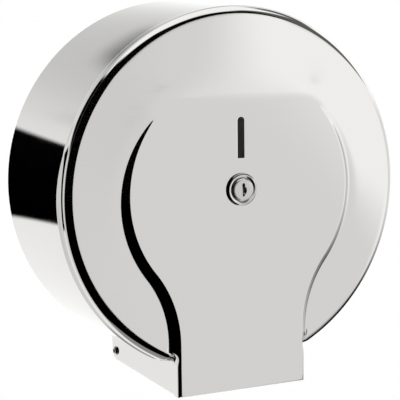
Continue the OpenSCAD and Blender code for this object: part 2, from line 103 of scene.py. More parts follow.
class FrontSizes(bpy.types.PropertyGroup):
    """The pressed front of the cover."""

    rim_radius: length("Rim radius", "Outside radius of the front rim", 130 * MM)
    rim_setback: length("Rim setback", "How far the rim stands behind the panel", 5.5 * MM)
    rim_round: length("Rim round", "Outside radius of the rolled rim", 6 * MM)
    rim_skirt: length("Rim skirt", "Length of the rim behind its round", 5.5 * MM)
    rim_lip: length("Rim lip", "How far the rim's rear edge stands out, low down", 1.9 * MM)
    sheet: length("Sheet", "Thickness of the cover's sheet steel", 1 * MM)
    bulb_radius: length("Bulb radius", "Radius of the round part of the raised panel", 84.8 * MM)
    bulb_height: length("Bulb height", "Height of the raised panel's centre", 1 * MM)
    panel_top: length("Panel top", "Height at which the panel's step begins", 57 * MM)
    brow: length("Brow", "How far the panel runs on above that in its middle", 4.5 * MM)
    neck_round: length("Neck round", "Radius of the hollow curve into the neck", 84 * MM)
    neck_width: length("Neck width", "Width of the flat of the neck", 96.6 * MM)
    brow_bend: length("Brow bend", "How far its round reaches from the step's tips", 17 * MM)
    step_depth: length("Step depth", "Depth of the pressed step at its deepest", 6 * MM)
    step_fade: length("Step fade", "Height over which the step fades out", 45 * MM)
    step_start: length("Step start", "Height over which the step begins softly", 4 * MM)
    step_spread: length("Step spread", "How much wider than deep the step is", 1.2 * MM)
    side_bend: length("Side bend", "Outside radius of the neck's folded sides", 2.5 * MM)
    lip_bend: length("Lip bend", "Outside radius of the folded lower lip", 1.5 * MM)
    flange_depth: length("Flange depth", "Depth of the folded flange", 8 * MM)
    slot_height: length("Slot height", "Height of the slot that shows the paper", 29 * MM)
    slot_width: length("Slot width", "Width of the slot", 5.4 * MM)
    slot_bottom: length("Slot bottom", "Height of the slot's lower end", 24.1 * MM)
    edge_break: length("Edge break", "How far the cut edges are rounded off", 0.18 * MM)


class BandSizes(bpy.types.PropertyGroup):
    """The drum and the chute's sides, folded from one band."""

    drum_front: length("Drum front", "Place of the drum's front edge", -106.8 * MM)
    skirt: length("Skirt", "Place of the rim's rear edge", -101 * MM)
    drum_radius: length("Drum radius", "Radius of the drum at the rim's rear edge", 128.8 * MM)
    drum_flare: length("Drum flare", "How much the drum's radius grows to the wall", 2.5 * MM)
    side_place: length("Side place", "Half the chute's width at its front", 49.7 * MM)
    side_flare: length("Side flare", "How much wider the chute is at the wall", 1.7 * MM)
    flange_rear: length("Flange rear", "Place of the front's folded flange's rear edge", -110 * MM)
    side_rise: length("Side rise", "How much higher the sides end at the wall", 3.6 * MM)
    corner: length("Corner", "Radius of the sides' lower rear corner", 6.7 * MM)
    fillet: length("Fillet", "Radius of the hollow between drum and side", 6 * MM)
    front_fillet: length("Front fillet", "Radius of that hollow under the rim", 1.2 * MM)
    pin_hole: length("Pin hole", "Radius of the hinge pins' holes", 2.55 * MM)


class FittingSizes(bpy.types.PropertyGroup):
    """The lock, the hinge pins, the rivets and the tear strip."""

    bezel_radius: length("Bezel radius", "Outside radius of the lock's bezel", 11.65 * MM)
    bezel_height: length("Bezel height", "Height of the bezel before the panel", 2.2 * MM)
    barrel_radius: length("Barrel radius", "Radius of the lock's threaded barrel", 9.5 * MM)
    thread_depth: length("Thread depth", "Depth of the barrel's thread", 0.45 * MM)
    thread_pitch: length("Thread pitch", "Distance from one turn to the next", 1 * MM)
    plug_radius: length("Plug radius", "Radius of the turning plug", 8.1 * MM)
    plug_play: length("Plug play", "Radial clearance of the plug", 0.05 * MM)
    keyway_height: length("Keyway height", "Height of the keyway", 9.6 * MM)
    keyway_width: length("Keyway width", "Width of the keyway", 2.2 * MM)
    keyway_depth: length("Keyway depth", "Depth of the keyway", 9 * MM)
    drive: length("Drive", "Width of the square that turns the cam", 8 * MM)
    screw_hole: length("Screw hole", "Radius of the cam screw's hole", 2.5 * MM)
    pin_radius: length("Pin radius", "Radius of the hinge pins", 2.5 * MM)
    pin_head: length("Pin head", "Radius of the hinge pins' heads", 3.3 * MM)
    pin_head_height: length("Pin head height", "Height of the hinge pins' heads", 1.4 * MM)
    pin_tail_height: length("Pin tail height", "Height of the pins' riveted tails", 1.2 * MM)
    rivet_radius: length("Rivet radius", "Radius of the rivets' shanks", 1.6 * MM)
    tooth_pitch: length("Tooth pitch", "Distance from one tooth to the next", 3 * MM)
    tooth_height: length("Tooth height", "Depth of the tear strip's teeth", 1.6 * MM)
    strip: length("Strip", "Thickness of the tear strip", 0.8 * MM)


class Finishes(bpy.types.PropertyGroup):
    """The colours of the finishes."""

    polished: colour("Polished steel", "Bright polished stainless steel", "#D3D2D0")
    satin: colour("Satin steel", "Satin stainless steel", "#BDBEBE")
    nickel: colour("Nickel", "Nickel plated zinc", "#C6C5C3")
    nylon: colour("Nylon", "Natural white nylon", "#E9E7DF")
    floor: colour("Floor", "Pale studio floor", "#F2F2F2")


class Studio(bpy.types.PropertyGroup):
    """The camera and the studio."""

    azimuth: turn("Azimuth", "The camera's place round the object", -25.98)
    elevation: turn("Elevation", "The camera's height above the horizon", 8.69)
    roll: turn("Roll", "The camera's turn about its own axis", -0.73)
    distance: length("Distance", "From the camera to its target", 1.19876)
    lens: bpy.props.FloatProperty(
        name="Lens", description="Focal length on a 36 mm sensor", default=138.54, unit="CAMERA"
    )
    target_x: length("Target across", "The target's place across", 25.1 * MM)
    target_z: length("Target height", "The target's height", -23.0 * MM)
    floor_drop: length("Floor drop", "Height of the wall-hung object above the floor", 0.62)
    floor_glow: bpy.props.FloatProperty(
        name="Floor glow", description="How far the floor is lifted towards white", default=0.12
    )


# ---------- small tools for meshes ----------


def linked(name, mesh):
    obj = bpy.data.objects.new(name, mesh)
    bpy.context.scene.collection.objects.link(obj)
    return obj


def mesh_object(name, points, faces):
    """A new object from points and faces."""
    mesh = bpy.data.meshes.new(name)
    mesh.from_pydata([tuple(p) for p in points], [], faces)
    return linked(name, mesh)


def close_up(obj, outward=True):
    """Merges doubles, drops points that no face uses and turns the faces outwards."""
    bm = bmesh.new()
    bm.from_mesh(obj.data)
    bmesh.ops.remove_doubles(bm, verts=bm.verts, dist=DOUBLE)
    bmesh.ops.dissolve_degenerate(bm, edges=bm.edges, dist=DOUBLE)
    bmesh.ops.delete(bm, geom=[v for v in bm.verts if not v.link_faces], context="VERTS")
    if outward:
        bmesh.ops.recalc_face_normals(bm, faces=bm.faces)
    bm.to_mesh(obj.data)
    bm.free()
    return obj


def modifier(obj, kind, **settings):
    made = obj.modifiers.new(kind.title(), kind)
    for name, value in settings.items():
        setattr(made, name, value)
    return made


def settle(obj):
    """Turns an object with live modifiers into a plain mesh."""
    graph = bpy.context.evaluated_depsgraph_get()
    mesh = bpy.data.meshes.new_from_object(obj.evaluated_get(graph))
    obj.modifiers.clear()
    obj.data = mesh
    mesh.name = obj.name
    return obj


def finish_edges(obj, width):
    """Rounds off the edges of a sheet, and leaves it a plain mesh that is shaded smooth."""
    limit = math.radians(60)
    modifier(obj, "BEVEL", width=width, segments=2, limit_method="ANGLE", angle_limit=limit)
    return smooth(settle(obj))


def smooth(obj, crease=32):
    """Shades smooth, with a sharp edge wherever two faces meet at more than the crease."""
    obj.data.shade_smooth()
    obj.data.set_sharp_from_angle(angle=math.radians(crease))
    return obj


def dress(obj, slot):
    """Gives an object the finish of one of the record's material slots."""
    obj.data.materials.clear()
    obj.data.materials.append(FINISH_OF_SLOT[slot]())


def piece(obj, slot, body, *nodes):
    """Gives a finished piece its finish and its place in the frame."""
    dress(obj, slot)
    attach(obj, body)
    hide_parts(*nodes)


def discard(obj):
    bpy.data.objects.remove(obj)


def spaced(start, end, count):
    return [start + (end - start) * i / count for i in range(count)]


def shares(count, first=0):
    """Even steps up to 1, from 0 unless the first ones are left out."""
    return [i / count for i in range(first, count + 1)]


def mirrored(points):
    return [Vector((-p.x, p.y, p.z)) for p in points]


def blend(t):
    """A soft rise from 0 to 1."""
    t = min(1, max(0, t))
    return t * t * (3 - 2 * t)


def rounded(corners, radius, steps=4):
    """Rounds each inner corner of a flat line, as far as its neighbours leave room."""
    line = [Vector(c) for c in corners]
    out = [line[0]]
    for before, corner, after in zip(line, line[1:], line[2:]):
        reach = min(radius, 0.45 * (before - corner).length, 0.45 * (after - corner).length)
        a = corner + (before - corner).normalized() * reach
        b = corner + (after - corner).normalized() * reach
        for t in shares(steps):
            out.append((1 - t) ** 2 * a + 2 * t * (1 - t) * corner + t**2 * b)
    return out + [line[-1]]


def lathe(name, profile, frame_of, steps=96, closed=False):
    """Turns a profile of (radius, distance) about an axis. frame_of places a point of the turned
    shape, given across, up and along the axis."""
    points, faces, rows = [], [], []
    for radius, along in profile:
        if radius < DOUBLE:
            rows.append([len(points)] * steps)
            points.append(frame_of(0, 0, along))
            continue
        rows.append([len(points) + i for i in range(steps)])
        for i in range(steps):
            a = 2 * math.pi * i / steps
            points.append(frame_of(radius * math.cos(a), radius * math.sin(a), along))
    pairs = list(zip(rows, rows[1:])) + ([(rows[-1], rows[0])] if closed else [])
    for low, high in pairs:
        for i in range(steps):
            j = (i + 1) % steps
            face = list(dict.fromkeys((low[i], low[j], high[j], high[i])))
            if len(face) > 2:
                faces.append(face)
    return close_up(mesh_object(name, points, faces))


def along_y(z=0.0):
    return lambda across, up, along: Vector((across, along, up + z))


def prism(name, outline, y0, y1, z=0.0):
    """An outline across and up, made solid from y0 to y1."""
    count = len(outline)
    points = [(x, y, z + up) for y in (y0, y1) for x, up in outline]
    faces = [tuple(range(count)), tuple(range(2 * count - 1, count - 1, -1))]
    faces += [(i, i + count, (i + 1) % count + count, (i + 1) % count) for i in range(count)]
    return close_up(mesh_object(name, points, faces))


def box(name, low, high):
    (x0, y0, z0), (x1, y1, z1) = low, high
    return prism(name, [(x0, z0), (x1, z0), (x1, z1), (x0, z1)], y0, y1)


def joined(name, parts):
    """Several objects as one."""
    bm = bmesh.new()
    for part in parts:
        bm.from_mesh(part.data)
        discard(part)
    mesh = bpy.data.meshes.new(name)
    bm.to_mesh(mesh)
    bm.free()
    return linked(name, mesh)


def cut(obj, cutter):
    """Cuts one closed object out of another."""
    modifier(obj, "BOOLEAN", operation="DIFFERENCE", solver="EXACT", object=cutter)
    settle(obj)
    discard(cutter)
    return obj


# ---------- nodes ----------


def add_node(tree, kind, inputs=None, **settings):
    """Adds a node. Settings are its own; inputs hold values, or other nodes' sockets, and a node
    there stands for its first output."""
    node = tree.nodes.new(kind)
    for name, value in settings.items():
        setattr(node, name, value)
    for key, value in (inputs or {}).items():
        if isinstance(value, bpy.types.Node):
            value = value.outputs[0]
        if isinstance(value, bpy.types.NodeSocket):
            tree.links.new(value, node.inputs[key])
        else:
            node.inputs[key].default_value = value
    return node


def calc(tree, operation, *values):
    return add_node(tree, "ShaderNodeMath", dict(enumerate(values)), operation=operation)


def ramp(tree, value, start, end, low=0.0, high=1.0, kind="SMOOTHSTEP"):
    """A change from low to high, soft unless said, while the value goes from start to end."""
    inputs = {"Value": value, "From Min": start, "From Max": end, "To Min": low, "To Max": high}
    return add_node(tree, "ShaderNodeMapRange", inputs, interpolation_type=kind)


def mixed(tree, share, low, high):
    """A value between two others."""
    return add_node(tree, "ShaderNodeMix", {0: share, 2: low, 3: high})


def product(tree, *values):
    total = values[0]
    for value in values[1:]:
        total = calc(tree, "MULTIPLY", total, value)
    return total


def blank_material(name):
    material = bpy.data.materials.new(name)
    material.use_nodes = True
    material.node_tree.nodes.clear()
    return material


def surface(tree, shader):
    add_node(tree, "ShaderNodeOutputMaterial", {"Surface": shader})


def own_place(tree):
    return add_node(tree, "ShaderNodeTexCoord").outputs["Object"]


def pattern(tree, scale, detail, stretch=(1, 1, 1)):
    """An uneven pattern on the piece, made finer across the grain by its stretch."""
    inputs = {"Vector": own_place(tree), "Scale": stretch}
    place = add_node(tree, "ShaderNodeMapping", inputs)
    inputs = {"Vector": place, "Scale": scale, "Detail": detail}
    return add_node(tree, "ShaderNodeTexNoise", inputs)


def between(tree, share, tone, low, high):
    """A colour that a pattern takes from a darker to a lighter kind of itself."""
    ends = {6: low, 7: high}
    inputs = {key: (*[min(1, c * level) for c in tone], 1) for key, level in ends.items()}
    return add_node(tree, "ShaderNodeMix", {0: share, **inputs}, data_type="RGBA").outputs[2]


def finished(tree, tone, rough, reliefs, **more):
    """Ends a finish. A relief is a pattern with its real depth and its strength."""
    inputs = {"Base Color": tone, "Roughness": rough, **more}
    for height, depth, strength in reliefs:
        relief = {"Height": height, "Distance": depth, "Strength": strength}
        if "Normal" in inputs:
            relief["Normal"] = inputs["Normal"]
        inputs["Normal"] = add_node(tree, "ShaderNodeBump", relief)
    surface(tree, add_node(tree, "ShaderNodeBsdfPrincipled", inputs))


def made_once(build):
    """Turns what builds a finish into a function that gives its one material."""

    def material():
        ready = bpy.data.materials.get(build.__name__)
        if ready is None:
            ready = blank_material(build.__name__)
            build(ready.node_tree, bpy.context.scene.dispenser_finishes)
        return ready

    return material


@made_once
def mirror_polished_stainless(tree, colours):
    """AISI 304 sheet, buffed to a mirror on a mop: it shows the room sharply, in a slightly
    wavy picture, with faint haze where the mop's strokes cross."""
    # The sheet's own waves after pressing, about 70 mm from crest to crest
    waves = pattern(tree, 14.0, 1.0)
    # Mop strokes about 1.5 mm apart, drawn coarser than the real 0.1 mm so that they show
    strokes = pattern(tree, 45.0, 4.0, (1, 1, 14))
    haze = ramp(tree, strokes, 0.3, 0.75, 0.045, 0.085, "LINEAR")
    reliefs = [(waves, 0.03 * MM, 1.0), (strokes, 0.0003 * MM, 1.0)]
    finished(tree, (*colours.polished, 1), haze, reliefs, Metallic=1.0)


@made_once
def satin_stainless(tree, colours):
    """Stainless steel as the mill's satin sheet: fine straight grain that blurs what it shows
    across the grain, with small lighter and darker streaks."""
    # Grain lines about 0.4 mm apart, coarser than the real 0.1 mm so that they show
    grain = pattern(tree, 60.0, 5.0, (1, 40, 40))
    streaks = pattern(tree, 18.0, 3.0, (1, 12, 12))
    rough = ramp(tree, grain, 0.3, 0.7, 0.24, 0.38, "LINEAR")
    tone = between(tree, streaks, colours.satin, 0.86, 1.12)
    finished(tree, tone, rough, [(grain, 0.004 * MM, 1.0)], Metallic=1.0)


@made_once
def nickel_plated_zinc(tree, colours):
    """Die-cast zinc with bright nickel over it: a warm grey shine with a slight orange peel."""
    # Orange peel about 0.8 mm from dimple to dimple
    peel = pattern(tree, 1250.0, 2.0)
    rubbed = pattern(tree, 220.0, 3.0)
    rough = ramp(tree, rubbed, 0.35, 0.7, 0.1, 0.2, "LINEAR")
    finished(tree, (*colours.nickel, 1), rough, [(peel, 0.004 * MM, 1.0)], Metallic=1.0)


@made_once
def moulded_nylon(tree, colours):
    """Natural polyamide from a mould: off-white, a little see-through at its edges, with a soft
    sheen from the mould's spark-eroded grain."""
    # The mould's grain, about 1.1 mm from dimple to dimple
    grain = pattern(tree, 900.0, 3.0)
    tone = between(tree, pattern(tree, 60.0, 2.0), colours.nylon, 0.93, 1.04)
    see_through = {"Subsurface Weight": 0.1, "Subsurface Scale": 1 * MM}
    finished(tree, tone, 0.42, [(grain, 0.02 * MM, 0.6)], IOR=1.53, **see_through)


FINISH_OF_SLOT = {
    "polished_stainless": mirror_polished_stainless,
    "satin_stainless": satin_stainless,
    "nickel_zinc": nickel_plated_zinc,
    "white_nylon": moulded_nylon,
}


# ---------- the pressed front ----------


class PressedFront:
    """The front's sheet as spokes from the roll's axis. A spoke's angle runs clockwise from the
    top, and a point is given across, up and by how far it stands behind the panel."""

    # Spokes over the brow, the bulb, the hollow, the turn from the tip, the neck and the lip
    brow_spokes, bulb_spokes, hollow_spokes = 48, 76, 40
    flow_spokes, neck_spokes, lip_spokes = 16, 6, 10
    # A spoke's points: over the step or a fold's bend, down to the rim, round it, along its skirt
    step_points = 18
    bend_points = 12
    fall_points = 18
    roll_points = 10
    skirt_points = 7
    # The turn, before the tip, in which the spokes lean over to the tip's own direction
    ease = math.radians(9)
    # The share of the fall to the rim in which its slope grows from level, and its least length
    soft = 0.3
    least_run = 4 * MM
    # Where the rim's lip begins to stand out, and the turn in which it grows
    lip_start = math.radians(62)
    lip_turn = math.radians(30)
    # Near the neck the step's foot meets the rim, and there the outer face narrows to a tip
    tip_width = 0.6 * MM
    neck_clear = 0.8 * MM

    def __init__(self, sizes):
        self.s = s = sizes
        self.rim_start = s.rim_radius - s.rim_round
        self.neck_x = s.neck_width / 2
        self.lip_z = CHUTE_END + s.lip_bend
        reach = s.bulb_radius + s.neck_round
        across = self.neck_x + s.neck_round
        self.bulb = Vector((0, s.bulb_height))
        self.hollow = Vector((across, s.bulb_height - math.sqrt(reach**2 - across**2)))
        top_x = math.sqrt(s.bulb_radius**2 - (s.panel_top - s.bulb_height) ** 2)
        tangent = self.bulb + (self.hollow - self.bulb) * (s.bulb_radius / reach)
        self.a_top = math.atan2(top_x, s.panel_top)
        self.a_tangent = math.atan2(tangent.x, tangent.y)
        self.a_neck = math.atan2(self.neck_x, self.hollow.y)
        reach = self.rim_start - self.tip_width
        # The step's depth at the tip hangs on the tip's height, so its width is worked out twice
        foot_x = self.neck_x + s.step_depth + s.step_spread
        foot_x = self.neck_x + s.step_spread + self.depth(-math.sqrt(reach**2 - foot_x**2))
        self.tip_z = -math.sqrt(reach**2 - foot_x**2)
        self.a_tip = math.atan2(self.neck_x, self.tip_z)
        self.tip_turn = math.atan2(foot_x, self.tip_z)
        self.a_rim = math.pi - math.asin(self.neck_x / s.rim_radius)
        self.a_corner = math.atan2(self.neck_x, self.lip_z)

    def edge(self, a):
        """Where the spoke crosses the raised panel's edge."""
        way = Vector((math.sin(a), math.cos(a)))
        s = self.s
        if a <= self.a_top:
            return way * (s.panel_top / way.y)
        if a <= self.a_tangent:
            m = way.dot(self.bulb)
            return way * (m + math.sqrt(s.bulb_radius**2 - self.bulb.length_squared + m * m))
        if a <= self.a_neck:
            m = way.dot(self.hollow)
            return way * (m - math.sqrt(s.neck_round**2 - self.hollow.length_squared + m * m))
        if a <= self.a_corner:
            return way * (self.neck_x / way.x)
        return way * (self.lip_z / way.y)

    def outward(self, a):
        """The way out from the panel's edge, turned gently from upright along its level top."""
        if a <= self.a_top:
            round_way = (self.edge(self.a_top) - self.bulb).normalized()
            return Vector((0, 1)).lerp(round_way, blend(a / self.a_top)).normalized()
        if a <= self.a_tangent:
            return (self.edge(a) - self.bulb).normalized()
        if a <= self.a_neck:
            return (self.hollow - self.edge(a)).normalized()
        return Vector((1, 0))

    def depth(self, z):
        s = self.s
        if z >= s.panel_top:
            return 0.0
        below = s.panel_top - z
        return s.step_depth * (1 - math.exp(-(below**2) / (below + s.step_start) / s.step_fade))

    def section(self, edge, foot, turned):
        """A spoke over the step, the fall to the rim, the rolled rim and its skirt."""
        s, way = self.s, Vector((math.sin(turned), math.cos(turned)))
        depth, even = self.depth(edge.y), 1 - self.soft / 2
        # The fall meets the rolled rim at the same slope
        drop = s.rim_setback - depth
        run = max(self.least_run, (way * self.rim_start - foot).length)
        lean = math.atan(drop / even / run)
        end = way * (self.rim_start + s.rim_round * math.sin(lean))
        drop += s.rim_round * (1 - math.cos(lean))
        line = [(edge.lerp(foot, t), depth * blend(t)) for t in shares(self.step_points)]
        for t in shares(self.fall_points, 1)[:-1]:
            # Level at the step's foot, then soon an even slope
            soft = min(t, self.soft)
            fallen = soft**3 / self.soft**2 - soft**4 / self.soft**3 / 2 + t - soft
            line.append((foot.lerp(end, t), depth + drop * fallen / even))
        for t in shares(self.roll_points):
            b = lean + (math.pi / 2 - lean) * t
            out = way * (self.rim_start + s.rim_round * math.sin(b))
            line.append((out, s.rim_setback + s.rim_round * (1 - math.cos(b))))
        # The lip stands out at the sides and below, where it runs down to the neck's flange
        lip = s.rim_lip * blend((turned - self.lip_start) / self.lip_turn)
        for t in shares(self.skirt_points, 1):
            out = way * (s.rim_radius + lip * (1.25 * t * t - 0.25 * t**6))
            line.append((out, s.rim_setback + s.rim_round + s.rim_skirt * t))
        return self.placed(line)

    def placed(self, line):
        return [Vector((spot.x, FACE_Y + back, spot.y)) for spot, back in line]

    def dish(self, a):
        edge = self.edge(a)
        foot = edge + self.outward(a) * (self.depth(edge.y) + self.s.step_spread)
        turned = a + (self.tip_turn - self.a_tip) * blend((a - self.a_tip) / self.ease + 1)
        return self.section(edge, foot, turned)

    def brow(self, t):
        """A spoke above the panel: its flat runs on to a brow from one step's tip to the other,
        so that the fall to the rim has no corner. t is 0 in the middle and 1 at the tip."""
        s = self.s
        out = self.outward(self.a_top)
        tip = self.edge(self.a_top) + out * s.step_spread
        middle = Vector((0, s.panel_top + s.brow))
        level = middle + Vector((0.5 * tip.x, 0))
        rise = tip + Vector((-out.y, out.x)) * s.brow_bend
        foot = (1 - t) ** 3 * middle + 3 * t * (1 - t) ** 2 * level
        foot += 3 * t * t * (1 - t) * rise + t**3 * tip
        a = math.atan2(foot.x, foot.y)
        return self.section(self.edge(min(a, self.a_top)), foot, a)

    def fold(self, edge, at_side=True, at_lip=False):
        """A spoke over a folded edge: the neck's side or the lower lip."""
        s = self.s
        bend = s.side_bend if at_side else s.lip_bend
        out = Vector((s.side_bend if at_side else 0, -s.lip_bend if at_lip else 0))
        # The points fall on the flange as they do on the rim, so that the two flow together
        wall, thin = 6 * MM, 0.3 * MM
        spans = (
            (bend, wall, self.step_points - self.bend_points),
            (wall, wall + thin, self.fall_points),
            (wall + thin, s.flange_depth, self.roll_points + self.skirt_points),
        )
        backs = [a + (b - a) * t for a, b, n in spans for t in shares(n, 1)]
        turns = [math.pi / 2 * t for t in shares(self.bend_points)]
        line = [(edge + out * math.sin(b), bend * (1 - math.cos(b))) for b in turns]
        return self.placed(line + [(edge + out, back) for back in backs])

    def half(self):
        """The spokes of the right half, from the top to the bottom."""
        spokes = [self.brow(t) for t in spaced(0, 1, self.brow_spokes)]
        turns = spaced(self.a_top, self.a_tangent, self.bulb_spokes)
        turns += spaced(self.a_tangent, self.a_tip, self.hollow_spokes)
        spokes += [self.dish(a) for a in turns]
        spokes += self.flow(self.flow_spokes)
        turns = spaced(self.a_rim, self.a_corner, self.neck_spokes)
        spokes += [self.fold(self.edge(a)) for a in turns]
        spokes.append(self.fold(Vector((self.neck_x, self.lip_z)), True, True))
        across = [*spaced(self.neck_x, 0, self.lip_spokes), 0]
        return spokes + [self.fold(Vector((x, self.lip_z)), False, True) for x in across]

    def flow(self, count):
        """Spokes from the tip to where the rim has turned into the neck's fold."""
        rim_z = self.edge(self.a_rim).y
        reach = self.rim_start - self.tip_width
        spokes = []
        for u in spaced(0, 1, count):
            turned = self.tip_turn + (self.a_rim - self.tip_turn) * u
            edge = Vector((self.neck_x, self.tip_z + (rim_z - self.tip_z) * u))
            foot = Vector((math.sin(turned), math.cos(turned))) * reach
            foot.x = max(foot.x, self.neck_x + self.neck_clear)
            pairs = zip(self.section(edge, foot, turned), self.fold(edge))
            spokes.append([a.lerp(b, blend(u)) for a, b in pairs])
        return spokes

    def spokes(self):
        half = self.half()
        return half + [mirrored(spoke) for spoke in half[-2:0:-1]]


def slot_outline(sizes, y):
    """The slot: straight sides, square below and round above."""
    half = sizes.slot_width / 2
    round_z = sizes.slot_bottom + sizes.slot_height - half
    turns = [math.pi * t for t in shares(24)]
    foot = [Vector((-half, y, sizes.slot_bottom)), Vector((half, y, sizes.slot_bottom))]
    return foot + [Vector((half * math.cos(t), y, round_z + half * math.sin(t))) for t in turns]


def circle_outline(radius, y, z, steps=72):
    turns = [2 * math.pi * i / steps for i in range(steps)]
    return [Vector((radius * math.cos(t), y, z + radius * math.sin(t))) for t in turns]


def spread(outline, i, centre, width):
    """A corner of an outline, moved out from it by a width."""
    before, here, after = outline[i - 1], outline[i], outline[(i + 1) % len(outline)]
    ways = []
    for a, b in ((before, here), (here, after)):
        way = Vector(((b - a).z, 0, -(b - a).x)).normalized()
        ways.append(way if way.dot((a + b) / 2 - centre) > 0 else -way)
    mitre = (ways[0] + ways[1]).normalized()
    return here + mitre * (width / max(0.5, mitre.dot(ways[0])))


def pressed_sheet(front, fittings):
    """The front's outer face: the spokes, and the flat panel with its slot and its lock's hole.
    A narrow border keeps the flat's shading clear of the step and of the holes' round edges."""
    step_border, hole_border = 0.4 * MM, 0.7 * MM
    spokes = front.spokes()
    count, rows = len(spokes), len(spokes[0])
    points = [p for spoke in spokes for p in spoke]
    faces = []
    border = len(points)
    middle = Vector((0, FACE_Y, front.s.bulb_height))
    for spoke in spokes:
        points.append(spoke[0] + (middle - spoke[0]).normalized() * step_border)
    for i in range(count):
        j = (i + 1) % count
        for a, b in zip(range(i * rows, (i + 1) * rows - 1), range(j * rows, (j + 1) * rows - 1)):
            faces.append((a, b, b + 1, a + 1))
        faces.append((border + i, border + j, j * rows, i * rows))
    slot_middle = Vector((0, FACE_Y, front.s.slot_bottom + front.s.slot_height / 2))
    loops, starts = [points[border:]], [border]
    for hole, centre in (
        (slot_outline(front.s, FACE_Y), slot_middle),
        (circle_outline(fittings.barrel_radius, FACE_Y, LOCK_Z), Vector((0, FACE_Y, LOCK_Z))),
    ):
        inner, size = len(points), len(hole)
        outer = [spread(hole, i, centre, hole_border) for i in range(size)]
        points += hole + outer
        for i in range(size):
            j = (i + 1) % size
            faces.append((inner + i, inner + size + i, inner + size + j, inner + j))
        loops.append(outer)
        starts.append(inner + size)
    flat = [start + i for start, loop in zip(starts, loops) for i in range(len(loop))]
    for tri in tessellate_polygon([[Vector((p.x, p.z, 0)) for p in loop] for loop in loops]):
        index = [flat[i] for i in tri]
        a, b, c = (points[i] for i in index)
        faces.append(index if (b - a).cross(c - a).y < 0 else index[::-1])
    return points, faces


class DISPENSER_OT_front(bpy.types.Operator):
    """Press the cover's front from one sheet, with its slot and its lock's hole"""

    bl_idname = "dispenser.front"
    bl_label = "Pressed front"

    def execute(self, context):
        scene = context.scene
        sizes = scene.dispenser_front
        front = PressedFront(sizes)
        obj = mesh_object("front_sheet", *pressed_sheet(front, scene.dispenser_fittings))
        close_up(obj, outward=False)
        modifier(obj, "SOLIDIFY", thickness=sizes.sheet, offset=-1)
        finish_edges(obj, sizes.edge_break)
        piece(obj, "polished_stainless", "cover", "front_cover")
        return {"FINISHED"}


# ---------- the drum and the chute's sides ----------


class Band:
    """The drum and the chute's sides as rings, each at one distance from the wall."""

    plate_points = 8
    hollow_points = 10
    drum_points = 84
    # Rings before the drum, under the rim, along the growing hollow, along the drum, round the
    # lower rear corner
    ahead_rings, under_rings, hollow_rings, drum_rings, corner_rings = 4, 3, 8, 22, 10
    # How far behind the rim the hollow between drum and side has grown to its full radius
    hollow_run = 12 * MM

    def __init__(self, sizes):
        self.s = sizes
        self.rear = BAND_HIGH.y
        self.drum_slope = sizes.drum_flare / (self.rear - sizes.skirt)
        self.side_slope = sizes.side_flare / (self.rear - sizes.flange_rear)

    def drum_radius(self, y):
        return self.s.drum_radius + self.drum_slope * (y - self.s.skirt)

    def side_x(self, y):
        return self.s.side_place + self.side_slope * (y - self.s.flange_rear)

    def side_end(self, y):
        """The side's lower edge, which turns up round the hinge at the wall."""
        into = y - HINGE.y
        if into > 0:
            return HINGE.z - math.sqrt(max(0.0, self.s.corner**2 - into**2))
        share = (y - BAND_LOW.y) / (self.rear - BAND_LOW.y)
        return CHUTE_END + self.s.side_rise * share

    def fillet(self, y):
        grown = blend((y - self.s.skirt) / self.hollow_run)
        return self.s.front_fillet + (self.s.fillet - self.s.front_fillet) * grown

    def half_ring(self, y):
        """The right half of a ring, from the side's lower edge to the drum's top."""
        x, r, f = self.side_x(y), self.drum_radius(y), self.fillet(y)
        centre = Vector((x + f, -math.sqrt((r + f) ** 2 - (x + f) ** 2)))
        low = self.side_end(y)
        line = []
        for z in spaced(low, centre.y, self.plate_points):
            line.append(Vector((x, z)))
        start, end = math.pi, math.atan2(-centre.y, -centre.x)
        for t in shares(self.hollow_points):
            a = start + (end - start) * t
            line.append(centre + Vector((f * math.cos(a), f * math.sin(a))))
        low_a = math.atan2(centre.x, centre.y)
        for t in shares(self.drum_points, 1):
            a = low_a * (1 - t)
            line.append(Vector((r * math.sin(a), r * math.cos(a))))
        return [Vector((p.x, y, p.y)) for p in line]

    def ring(self, y):
        half = self.half_ring(y)
        return half + mirrored(half[-2::-1])

    def places(self):
        """Where the rings stand: before the drum, along it and close together round the corner."""
        s = self.s
        full = s.skirt + self.hollow_run
        ahead = spaced(BAND_LOW.y, s.drum_front, self.ahead_rings)
        along = spaced(s.drum_front, s.skirt, self.under_rings)
        along += spaced(s.skirt, full, self.hollow_rings)
        along += spaced(full, HINGE.y, self.drum_rings)
        turned = self.rear - HINGE.y
        for t in shares(self.corner_rings):
            along.append(HINGE.y + turned * math.sin(math.pi / 2 * t))
        return ahead, along


def band_sheet(band):
    """The band's outer face. Before the drum it has only the chute's two sides."""
    ahead, along = band.places()
    rings = [band.ring(y) for y in ahead + along]
    width, plate = len(rings[0]), band.plate_points
    points = [p for ring in rings for p in ring]
    faces = []
    for row in range(len(rings) - 1):
        for k in range(width - 1):
            on_plate = k < plate or k >= width - 1 - plate
            if row < len(ahead) and not on_plate:
                continue
            a, b = row * width + k, (row + 1) * width + k
            faces.append((a, b, b + 1, a + 1))
    return points, faces


